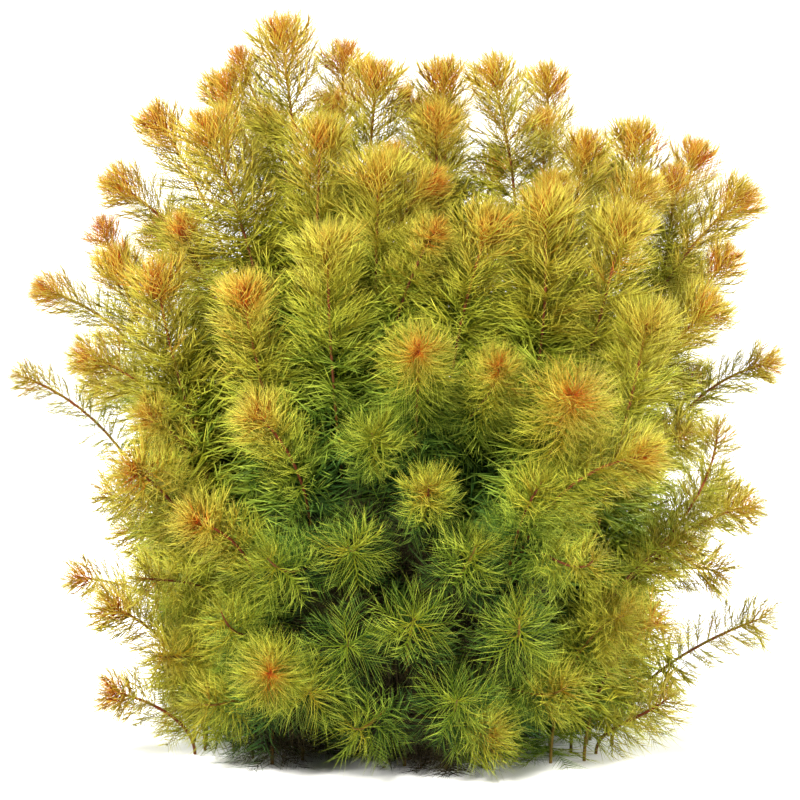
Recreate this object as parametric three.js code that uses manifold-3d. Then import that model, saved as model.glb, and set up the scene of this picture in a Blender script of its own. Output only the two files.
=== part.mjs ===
// A clump of water milfoil, cut off flat where its stems left the ground.
// Millimetres, +Z up. The camera side of the clump is -Y. The origin is on the ground,
// under the middle of the clump.
//
// Every shoot is one grown piece: a thin stem that rises from its own flat cut and carries
// whorls of five hair-fine leaves almost down to the ground. A whorl's leaves are far too
// fine to be cut one by one here, so the leaves of a few neighbouring whorls are fused into
// one whorl of five leaf points, which reach as far as the leaf tips do, on a core that
// stands for the crowded leaf bases. Whorls above each other are turned by half a leaf.
// The five youngest stand close round the bud, like a shaving brush. Side shoots are fused
// to the shoot that they grow from.
import * as THREE from 'three';
import Module from 'manifold-3d';

const STEM_RADIUS = 0.9;
const LEAVES_IN_WHORL = 5;
const TOP_WHORL_PITCH = 25;      // between the two whorls nearest the tip
const PITCH_GROWTH = 1.4;        // each step further down is this much longer
const SHADED_AT = 60;            // distance from the tip at which neighbours hide the leaves
const SHADED_GROWTH = 2;         // below that, each step is this much longer
const LONGEST_PITCH = 80;
const CORE_SHARE = 0.34;         // crowded leaf bases round the stem, as a share of the reach
const YOUNG_SHARE = 0.6;         // spread of the youngest leaves, as a share of the reach
const FULL_REACH_AT = 28;        // distance from the tip at which leaves are full size
const YOUNG_LEAN = 0.7;          // how far leaf points lean forward, as a share of the reach
const OLD_LEAN = 0.3;
const OLD_LEAVES_AT = 120;       // distance from the tip at which leaves lean out the most
const BUD_LENGTH = 8;            // beyond the end of the stem
const CURVE_POINTS = 40;         // points that stand for a stem when shoots share space
const CROWDING_GAP = 2;          // leaves stop this far short of the half-way line to a neighbour
const GROUND_GAP = 0.6;          // lowest that leaf points droop above the ground
const LEAST_CORE = 1.4;          // a ring's points are never pressed closer to the stem than this
const LEAST_LEAF = 4;            // nor a leaf point closer than this
const SHRINK_STEP = 0.04;        // shares tried, one after another, when points are pressed back
const SIDE_BARE = 38;            // stretch of a side shoot inside its parent's leaves

const CENTRING = [1.4, 0.9];     // puts the middle of the clump's spread over the origin

const FINISHES = {
  golden: { color: 0xc98f2a, roughness: 0.55 },
  lime: { color: 0x9aa52c, roughness: 0.6 },
  green: { color: 0x5d8a2d, roughness: 0.6 },
};

// One row for each shoot: where its stem is cut [x, y], where its tip is [x, y, z], the way
// the tip points, how far its leaves reach from the stem, how long its bare foot is, and
// its finish.
const SHOOTS = [
  ['crown_shoot_1', [-32, 1], [-53, 0, 320], [-0.12, 0, 1], 24, 9, 'golden'],
  ['crown_shoot_2', [-46, 16], [-80, 14, 297], [-0.45, 0.1, 1], 22, 9, 'golden'],
  ['crown_shoot_3', [-13, 24], [-26, 36, 311], [0, 0.1, 1], 19, 9, 'golden'],
  ['crown_shoot_4', [-6, -1], [-10, -6, 301], [0.12, 0, 1], 23, 9, 'golden'],
  ['crown_shoot_5', [13, 10], [19, 14, 302], [-0.05, 0, 1], 21, 9, 'golden'],
  ['crown_shoot_6', [35, -4], [40, -12, 303], [-0.3, 0, 1], 22, 9, 'golden'],
  ['crown_shoot_7', [43, 21], [66, 26, 300], [-0.1, 0.1, 1], 21, 9, 'golden'],
  ['crown_shoot_8', [56, -11], [83, -20, 271], [0.2, 0, 1], 21, 9, 'golden'],
  ['crown_shoot_9', [63, 13], [105, 8, 274], [-0.1, 0, 1], 23, 9, 'golden'],
  ['crown_shoot_10', [82, 24], [135, 30, 266], [0.25, 0.1, 1], 20, 9, 'golden'],
  ['crown_shoot_11', [-67, 10], [-110, 8, 282], [-0.55, 0, 0.8], 21, 9, 'golden'],
  ['crown_shoot_12', [-45, -16], [-84, -34, 279], [-0.35, -0.05, 1], 24, 9, 'golden'],
  ['crown_shoot_13', [-20, -20], [-34, -42, 277], [0.1, 0, 1], 22, 9, 'golden'],
  ['left_shoot_1', [-80, 18], [-130, 18, 252], [-0.9, 0.05, 0.5], 20, 9, 'golden'],
  ['left_shoot_2', [-78, -3], [-127, -12, 218], [-0.35, 0, 1], 22, 9, 'golden'],
  ['left_shoot_3', [-63, -24], [-106, -52, 214], [-0.1, -0.3, 1], 23, 9, 'golden'],
  ['left_shoot_4', [-88, 7], [-162, 6, 204], [-1, 0, 0.25], 17, 9, 'golden'],
  ['left_shoot_5', [-87, -16], [-140, -36, 178], [-1, -0.1, 0.3], 20, 7, 'golden'],
  ['left_shoot_6', [-93, -5], [-171, -12, 167], [-1, 0, 0.35], 14, 7, 'lime'],
  ['left_shoot_7', [-74, -33], [-116, -86, 132], [-0.5, -0.8, 0.3], 22, 7, 'lime'],
  ['left_shoot_8', [-87, -29], [-128, -50, 68], [-1, -0.1, 0.4], 20, 5, 'golden'],
  ['left_shoot_9', [-91, -39], [-127, -62, 32], [-1, 0, 0.2], 17, 4, 'golden'],
  ['right_shoot_1', [86, -1], [155, 4, 247], [0.9, 0, 0.75], 22, 9, 'golden'],
  ['right_shoot_2', [67, -24], [108, -22, 253], [0.5, 0, 0.8], 20, 9, 'golden'],
  ['right_shoot_3', [84, -14], [137, -30, 199], [0.8, -0.1, 0.8], 23, 9, 'golden'],
  ['right_shoot_4', [95, 9], [168, 6, 171], [1, 0, 0.2], 17, 7, 'lime'],
  ['right_shoot_5', [66, -62], [154, -56, 113], [1, 0, 0.2], 17, 7, 'lime'],
  ['right_shoot_6', [95, -18], [164, -14, 58], [1, -0.1, 0.35], 17, 5, 'lime'],
  ['right_shoot_7', [81, -56], [111, -90, 66], [0.4, -0.9, 0.2], 19, 5, 'lime'],
  ['right_shoot_8', [87, -38], [118, -64, 30], [0.7, -0.2, 0.7], 18, 4, 'lime'],
  ['front_shoot_1', [-6, -31], [-9, -64, 261], [0.05, -0.1, 1], 25, 9, 'golden'],
  ['front_shoot_2', [-19, -44], [-31, -92, 231], [0, -0.1, 1], 24, 9, 'lime'],
  ['front_shoot_3', [20, -34], [39, -84, 239], [0.35, -0.3, 1], 24, 9, 'golden'],
  ['front_shoot_4', [39, -30], [62, -74, 244], [-0.08, -0.1, 1], 26, 9, 'golden'],
  ['front_shoot_5', [54, -31], [97, -62, 238], [0.2, -0.15, 1], 24, 9, 'lime'],
  ['front_shoot_6', [-43, -39], [-68, -92, 210], [-0.2, -0.3, 1], 22, 9, 'golden'],
  ['front_shoot_7', [4, -53], [8, -132, 187], [0, -1, 0.25], 20, 7, 'golden'],
  ['front_shoot_8', [76, -36], [107, -78, 198], [0.15, -0.2, 1], 22, 9, 'lime'],
  ['front_shoot_9', [43, -49], [73, -128, 168], [0.1, -1, 0.35], 24, 7, 'golden'],
  ['front_shoot_10', [-43, -54], [-62, -114, 160], [-0.6, -0.4, 0.6], 20, 7, 'golden'],
  ['front_shoot_11', [37, -65], [106, -114, 141], [1, -0.1, 0.1], 20, 7, 'golden'],
  ['front_shoot_12', [-56, -65], [-55, -134, 51], [-0.1, -1, 0.1], 21, 4, 'golden'],
  ['front_shoot_13', [2, -69], [6, -134, 74], [0.1, -0.9, 0.4], 20, 5, 'green'],
  ['front_shoot_14', [20, -76], [24, -138, 40], [0, -1, 0.25], 19, 4, 'green'],
  ['front_shoot_15', [-65, -49], [-88, -112, 113], [-0.9, -0.4, 0.3], 20, 7, 'lime'],
  ['back_shoot_1', [-37, 37], [-62, 64, 279], [-0.2, 0.4, 1], 23, 9, 'golden'],
  ['back_shoot_2', [11, 38], [18, 70, 283], [0, 0.35, 1], 23, 9, 'golden'],
  ['back_shoot_3', [61, 38], [96, 68, 255], [0.4, 0.4, 1], 23, 9, 'golden'],
  ['back_shoot_4', [-71, 36], [-112, 64, 229], [-0.7, 0.4, 0.8], 22, 9, 'golden'],
  ['back_shoot_5', [-17, 53], [-28, 106, 236], [-0.1, 0.6, 0.8], 24, 9, 'lime'],
  ['back_shoot_6', [33, 56], [52, 108, 230], [0.2, 0.7, 0.8], 23, 9, 'golden'],
  ['back_shoot_7', [84, 40], [134, 70, 210], [0.8, 0.4, 0.6], 22, 9, 'golden'],
  ['back_shoot_8', [-87, 31], [-142, 62, 158], [-0.9, 0.5, 0.3], 20, 7, 'lime'],
  ['back_shoot_9', [-52, 56], [-80, 114, 166], [-0.5, 0.9, 0.4], 22, 7, 'golden'],
  ['back_shoot_10', [6, 68], [10, 134, 163], [0, 1, 0.35], 22, 7, 'lime'],
  ['back_shoot_11', [63, 61], [98, 114, 156], [0.6, 0.8, 0.4], 21, 7, 'golden'],
  ['back_shoot_12', [99, 30], [150, 56, 110], [1, 0.4, 0.2], 19, 7, 'lime'],
  ['back_shoot_13', [-78, 49], [-118, 92, 74], [-0.8, 0.7, 0.2], 19, 5, 'lime'],
  ['back_shoot_14', [-24, 73], [-36, 132, 69], [-0.2, 1, 0.2], 20, 5, 'green'],
  ['back_shoot_15', [41, 71], [62, 130, 63], [0.5, 1, 0.25], 20, 5, 'lime'],
].map(([name, cut, tip, aim, reach, bare, finish]) => ({ name, cut, tip, aim, reach, bare, finish }));

// One row for each side shoot: the shoot it grows from, how far up that shoot as a share of
// its length, where its tip is, the way the tip points, and how far its leaves reach.
const SIDE_SHOOTS = [
  ['crown_shoot_5', 0.55, [16, -30, 284], [0, -0.3, 1], 18],
  ['crown_shoot_8', 0.6, [64, 4, 282], [0, 0, 1], 16],
  ['crown_shoot_4', 0.62, [-31, 14, 290], [-0.1, 0.1, 1], 16],
  ['crown_shoot_5', 0.65, [3, 26, 292], [-0.2, 0.1, 1], 16],
  ['crown_shoot_4', 0.5, [-2, -30, 267], [0.1, -0.1, 1], 17],
  ['front_shoot_4', 0.6, [67, -42, 255], [0, 0, 1], 17],
  ['front_shoot_1', 0.62, [17, -58, 256], [0.8, 0, 0.5], 17],
  ['crown_shoot_10', 0.6, [122, 6, 257], [-0.1, 0, 1], 16],
  ['right_shoot_1', 0.6, [147, -6, 221], [0.4, 0, 0.8], 18],
  ['left_shoot_1', 0.6, [-134, 0, 234], [-0.2, 0, 1], 15],
  ['crown_shoot_11', 0.55, [-97, -14, 236], [-0.2, -0.1, 1], 17],
  ['crown_shoot_1', 0.7, [-72, 6, 310], [-0.3, 0, 1], 15],
  ['back_shoot_2', 0.6, [45, 52, 262], [0.2, 0.2, 1], 19],
  ['right_shoot_4', 0.55, [134, 24, 165], [0.3, 0.2, 1], 20],
  ['front_shoot_1', 0.35, [-12, -110, 150], [-0.1, -0.9, 0.6], 20],
  ['front_shoot_1', 0.5, [16, -94, 236], [0.4, -0.7, 0.6], 17],
  ['front_shoot_2', 0.2, [-22, -132, 62], [0, -1, 0.15], 20],
  ['front_shoot_2', 0.42, [-22, -124, 103], [-0.3, -0.8, 0.5], 19],
  ['front_shoot_3', 0.25, [32, -126, 104], [0.3, -0.5, 0.9], 19],
  ['front_shoot_3', 0.5, [42, -116, 180], [0, -0.9, 0.7], 18],
  ['front_shoot_11', 0.4, [60, -118, 130], [0.5, -0.4, 0.8], 19],
  ['front_shoot_10', 0.45, [-56, -122, 98], [-0.5, -0.5, 0.7], 19],
  ['front_shoot_7', 0.4, [12, -126, 130], [0, -0.6, 0.8], 18],
  ['right_shoot_5', 0.2, [96, -98, 70], [0.5, -1, 0.2], 19],
  ['front_shoot_13', 0.3, [-20, -124, 26], [-0.4, -0.8, 0.4], 18],
  ['front_shoot_14', 0.35, [40, -116, 24], [0.5, -0.5, 0.7], 20],
  ['front_shoot_10', 0.22, [-38, -128, 42], [0.1, -1, 0.3], 20],
  ['front_shoot_11', 0.16, [72, -108, 42], [0.6, -0.3, 0.7], 19],
  ['front_shoot_11', 0.3, [50, -132, 74], [-0.1, -0.4, 1], 19],
  ['front_shoot_11', 0.55, [82, -124, 98], [0.5, -0.4, 0.8], 17],
  ['front_shoot_15', 0.15, [-86, -98, 32], [-0.9, -0.3, 0.2], 19],
  ['front_shoot_15', 0.35, [-76, -116, 75], [-0.3, -0.4, 1], 17],
  ['left_shoot_3', 0.5, [-112, -50, 154], [-0.8, -0.3, 0.6], 17],
  ['left_shoot_5', 0.4, [-130, -34, 116], [-1, -0.2, 0.3], 18],
  ['left_shoot_6', 0.25, [-146, -12, 76], [-1, 0, 0.1], 15],
  ['left_shoot_7', 0.2, [-104, -82, 50], [-0.5, -1, 0.2], 18],
  ['left_shoot_7', 0.4, [-112, -86, 85], [-0.9, -0.6, 0.2], 17],
  ['right_shoot_3', 0.25, [143, -30, 80], [1, 0, -0.35], 18],
  ['right_shoot_3', 0.45, [126, -60, 146], [0.6, -0.6, 0.4], 18],
  ['right_shoot_4', 0.4, [150, 0, 108], [1, -0.2, 0.3], 17],
  ['right_shoot_5', 0.4, [128, -60, 98], [0.8, -0.5, 0.3], 18],
  ['right_shoot_5', 0.65, [138, -66, 149], [0, -0.1, 1], 16],
  ['back_shoot_5', 0.3, [-32, 124, 106], [-0.1, 1, 0.3], 20],
  ['back_shoot_6', 0.35, [58, 120, 108], [0.2, 1, 0.3], 20],
  ['back_shoot_8', 0.3, [-128, 54, 90], [-1, 0.3, 0.2], 18],
  ['back_shoot_9', 0.3, [-88, 102, 90], [-0.5, 0.9, 0.3], 19],
  ['back_shoot_10', 0.2, [8, 130, 50], [0, 1, 0.1], 20],
  ['back_shoot_11', 0.3, [98, 96, 82], [0.5, 0.9, 0.2], 19],
].map(([parent, share, tip, aim, reach]) => ({ parent, share, tip, aim, reach, bare: SIDE_BARE }));

// A stem sets out in one direction and bends until its tip points along its aim.
function stemCurve(start, setOut, { tip, aim }) {
  const end = new THREE.Vector3(...tip);
  const approach = new THREE.Vector3(...aim).normalize().multiplyScalar(-0.35 * start.distanceTo(end));
  return new THREE.CubicBezierCurve3(start, start.clone().add(setOut), end.clone().add(approach), end);
}

// A main stem leaves the ground upright.
function mainCurve(shoot) {
  const start = new THREE.Vector3(...shoot.cut, 0);
  return stemCurve(start, new THREE.Vector3(0, 0, 0.45 * shoot.tip[2]), shoot);
}

// A side shoot leaves its parent along the parent's own direction.
function sideCurve(side, parentCurve) {
  const start = parentCurve.getPointAt(side.share);
  const setOut = parentCurve.getTangentAt(side.share);
  return stemCurve(start, setOut.multiplyScalar(0.3 * start.distanceTo(new THREE.Vector3(...side.tip))), side);
}

// Leaves are short at the tip and full size a little below it.
function reachAt(shoot, fromTip) {
  return shoot.reach * THREE.MathUtils.lerp(YOUNG_SHARE, 1, THREE.MathUtils.smoothstep(fromTip, 0, FULL_REACH_AT));
}

function leanAt(fromTip) {
  return THREE.MathUtils.lerp(YOUNG_LEAN, OLD_LEAN, Math.min(1, fromTip / OLD_LEAVES_AT));
}

function nearest(point, points) {
  let least = Infinity;
  for (const other of points) least = Math.min(least, point.distanceToSquared(other));
  return Math.sqrt(least);
}

// Points are pressed back towards their stem, all by the same share, until each is above the
// ground and clearly nearer to its own stem than to any other shoot's. They stop at a least
// distance from it.
function pressBack(centre, offsets, leastDistance, own, others) {
  const pressed = (share) => offsets.map((offset) => centre.clone().addScaledVector(offset, share));
  const isFree = (point) => {
    if (point.z < GROUND_GAP) return false;
    const mine = nearest(point, own) + CROWDING_GAP;
    return others.every((points) => nearest(point, points) > mine);
  };
  const leastShare = Math.min(1, leastDistance / offsets[0].length());
  for (let share = 1; share > leastShare; share -= SHRINK_STEP) {
    if (pressed(share).every(isFree)) return pressed(share);
  }
  return pressed(leastShare);
}

// Offsets of a whorl's points from the stem: outwards by a radius, forwards by a lean.
function whorlOffsets(place, radius, lean, turn) {
  return Array.from({ length: LEAVES_IN_WHORL }, (_, i) => {
    const angle = turn + (2 * Math.PI * i) / LEAVES_IN_WHORL;
    return place.side.clone().multiplyScalar(radius * Math.cos(angle))
      .addScaledVector(place.up, radius * Math.sin(angle))
      .addScaledVector(place.along, lean);
  });
}

// Points are collected once each, so that neighbouring faces share them and the skin closes.
class Skin {
  constructor() {
    this.points = [];
    this.faces = [];
  }

  add(ringPoints) {
    const first = this.points.length;
    this.points.push(...ringPoints);
    return ringPoints.map((_, i) => first + i);
  }

  tube(low, high) {
    low.forEach((_, i) => {
      const j = (i + 1) % low.length;
      this.faces.push([low[i], low[j], high[j]], [low[i], high[j], high[i]]);
    });
  }

  // The upper ring stands half a leaf round from the lower one. Each leaf point rises from
  // two lower points and the upper point between them.
  whorl(low, high, leaves) {
    low.forEach((_, i) => {
      const j = (i + 1) % low.length;
      this.faces.push([low[i], low[j], leaves[i]], [low[j], high[i], leaves[i]], [high[i], low[i], leaves[i]]);
      this.faces.push([low[j], high[j], high[i]]);
    });
  }

  cap(rim, centre, outwards) {
    const [middle] = this.add([centre]);
    rim.forEach((_, i) => {
      const j = (i + 1) % rim.length;
      this.faces.push(outwards ? [rim[i], rim[j], middle] : [rim[j], rim[i], middle]);
    });
  }

  geometry() {
    const geometry = new THREE.BufferGeometry();
    geometry.setAttribute('position', new THREE.Float32BufferAttribute(this.points.flatMap((p) => p.toArray()), 3));
    geometry.setIndex(this.faces.flat());
    return geometry;
  }
}

// Centre and directions of a stem at a distance from its cut. The directions turn as little
// as they can along the stem, so that its rings don't twist.
function placesAlong(curve) {
  const steps = 60;
  const length = curve.getLength();
  const frames = curve.computeFrenetFrames(steps, false);
  return (distance) => {
    const share = THREE.MathUtils.clamp(distance / length, 0, 1);
    const along = curve.getTangentAt(share);
    const normal = frames.normals[Math.round(share * steps)];
    const side = normal.clone().addScaledVector(along, -normal.dot(along)).normalize();
    return { centre: curve.getPointAt(share), along, side, up: along.clone().cross(side) };
  };
}

// Distances from the tip of the rings between whorls, from the lowest to the tip itself.
function ringsFromTip(leafy) {
  const rings = [0];
  let pitch = TOP_WHORL_PITCH;
  while (rings.at(-1) + pitch / 2 < leafy) {
    rings.push(rings.at(-1) + pitch);
    pitch *= rings.at(-1) < SHADED_AT ? PITCH_GROWTH : SHADED_GROWTH;
    pitch = Math.min(pitch, LONGEST_PITCH);
  }
  const fit = leafy / rings.at(-1);
  return rings.map((fromTip) => fromTip * fit).reverse();
}

function shootGeometry(shoot, curve, own, others) {
  const length = curve.getLength();
  const at = placesAlong(curve);
  const skin = new Skin();
  const halfLeaf = Math.PI / LEAVES_IN_WHORL;
  const pressRing = (place, offsets) => pressBack(place.centre, offsets, LEAST_CORE, own, others);
  const pressEach = (place, offsets) => offsets.flatMap((offset) => (
    pressBack(place.centre, [offset], LEAST_LEAF, own, others)));
  const onStem = (place) => whorlOffsets(place, STEM_RADIUS, 0, 0).map((offset) => offset.add(place.centre));

  // The bare stem, from its flat cut to just under the lowest leaves.
  const cut = at(0);
  const cutRing = skin.add(onStem(cut));
  skin.cap(cutRing, cut.centre, false);
  let below = skin.add(onStem(at(shoot.bare)));
  skin.tube(cutRing, below);

  // The whorls, one above another.
  const rings = ringsFromTip(length - shoot.bare);
  for (let k = 1; k < rings.length; k += 1) {
    const turn = k * halfLeaf;
    const [low, high] = [rings[k - 1], rings[k]];
    const middle = (low + high) / 2;
    const highPlace = at(length - high);
    const leafPlace = at(length - middle);
    const reach = reachAt(shoot, middle);
    const core = whorlOffsets(highPlace, CORE_SHARE * reachAt(shoot, high), 0, turn);
    const leaves = whorlOffsets(leafPlace, reach, leanAt(middle) * shoot.reach, turn);
    const above = skin.add(pressRing(highPlace, core));
    skin.whorl(below, above, skin.add(pressEach(leafPlace, leaves)));
    below = above;
  }
  const bud = at(length);
  skin.cap(below, bud.centre.clone().addScaledVector(bud.along, BUD_LENGTH), true);
  return skin.geometry();
}

// Every stem of a grown piece: its main shoot and the side shoots on it.
const pieces = SHOOTS.map((shoot) => {
  const main = mainCurve(shoot);
  const sides = SIDE_SHOOTS.filter((side) => side.parent === shoot.name);
  return {
    name: shoot.name,
    finish: shoot.finish,
    stems: [{ shoot, curve: main }, ...sides.map((side) => ({ shoot: side, curve: sideCurve(side, main) }))],
  };
});

// Points along every stem of a piece and its buds, which other pieces keep away from.
function axisPoints({ stems }) {
  return stems.flatMap(({ curve }) => [
    ...curve.getSpacedPoints(CURVE_POINTS),
    curve.getPointAt(1).addScaledVector(curve.getTangentAt(1), BUD_LENGTH),
  ]);
}

const manifold = await Module();
manifold.setup();

function solidOf(geometry) {
  const vertProperties = new Float32Array(geometry.attributes.position.array);
  const triVerts = new Uint32Array(geometry.index.array);
  return new manifold.Manifold(new manifold.Mesh({ numProp: 3, vertProperties, triVerts }));
}

// A side shoot starts inside its parent's core, and the two become one closed skin. Their
// leaf points can close round a small pocket: only the skin round the whole is kept.
function fused(geometries) {
  if (geometries.length === 1) return geometries[0];
  const skins = manifold.Manifold.union(geometries.map(solidOf)).decompose();
  const outer = skins.reduce((most, skin) => (skin.volume() > most.volume() ? skin : most)).getMesh();
  const geometry = new THREE.BufferGeometry();
  geometry.setAttribute('position', new THREE.Float32BufferAttribute(outer.vertProperties, 3));
  geometry.setIndex([...outer.triVerts]);
  return geometry;
}

const clump = new THREE.Group();
const keepAway = pieces.map(axisPoints);
pieces.forEach(({ name, finish, stems }, i) => {
  const others = keepAway.filter((_, j) => j !== i);
  const geometry = fused(stems.map(({ shoot, curve }) => shootGeometry(shoot, curve, keepAway[i], others)));
  const mesh = new THREE.Mesh(geometry, new THREE.MeshStandardMaterial({ ...FINISHES[finish], metalness: 0 }));
  mesh.name = name;
  clump.add(mesh);
});
clump.position.set(...CENTRING, 0);

export default clump;
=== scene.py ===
# %% [markdown]
# # A clump of water milfoil
#
# The real plant is a dense clump of thin, upright stems. Each stem carries whorls of five
# leaves, and each leaf is a comb: a fine midrib with a row of threads on either side. The
# youngest leaves stand close round the bud, like a shaving brush, and are orange; older ones
# spread out and turn gold, olive and at last deep green.
#
# The frame holds one solid for each shoot. Here every solid is replaced by a stem and its
# real leaves, which follow the same curve and reach as far.

# %% Load the frame
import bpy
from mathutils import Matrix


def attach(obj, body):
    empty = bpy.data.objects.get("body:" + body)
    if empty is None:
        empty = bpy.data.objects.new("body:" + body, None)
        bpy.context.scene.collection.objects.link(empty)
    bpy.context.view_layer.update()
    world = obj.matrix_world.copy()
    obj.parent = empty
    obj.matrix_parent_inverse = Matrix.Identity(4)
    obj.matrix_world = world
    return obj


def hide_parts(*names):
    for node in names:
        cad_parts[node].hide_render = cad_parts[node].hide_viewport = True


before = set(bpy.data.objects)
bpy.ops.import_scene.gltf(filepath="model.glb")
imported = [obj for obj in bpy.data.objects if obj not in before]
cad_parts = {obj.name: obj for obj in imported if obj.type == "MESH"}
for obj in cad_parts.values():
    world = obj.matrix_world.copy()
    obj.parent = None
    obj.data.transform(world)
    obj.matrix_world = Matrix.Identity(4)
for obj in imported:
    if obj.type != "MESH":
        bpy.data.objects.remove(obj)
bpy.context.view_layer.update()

print("shoots in the frame:", len(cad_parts))

# %% Tools and units
import math

import bmesh
import bpy
import numpy as np
from mathutils import Matrix, Vector, geometry

MM = 0.001
CENTRING = Vector((1.4, 0.9, 0.0))     # mm, puts the middle of the clump over the origin
DICE = np.random.default_rng(12)       # every scatter below is drawn from this, in order


def smoothstep(value, low, high):
    """0 below low, 1 above high, and a smooth rise between them."""
    share = np.clip((value - low) / (high - low), 0, 1)
    return share * share * (3 - 2 * share)


# %% [markdown]
# ## Where the shoots stand
#
# On the real plant every shoot rises from its own root and bends outwards to the light. The
# stems could be drawn by hand as curves, but a few numbers say enough: where the stem is
# cut, where its tip is, and which way the tip points. A Bezier curve does the rest. The
# same numbers shape the solids, so the leaves grow exactly where the solids are.
#
# Two more numbers colour a shoot: how orange its bud is, and how green its leaves are.

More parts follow.
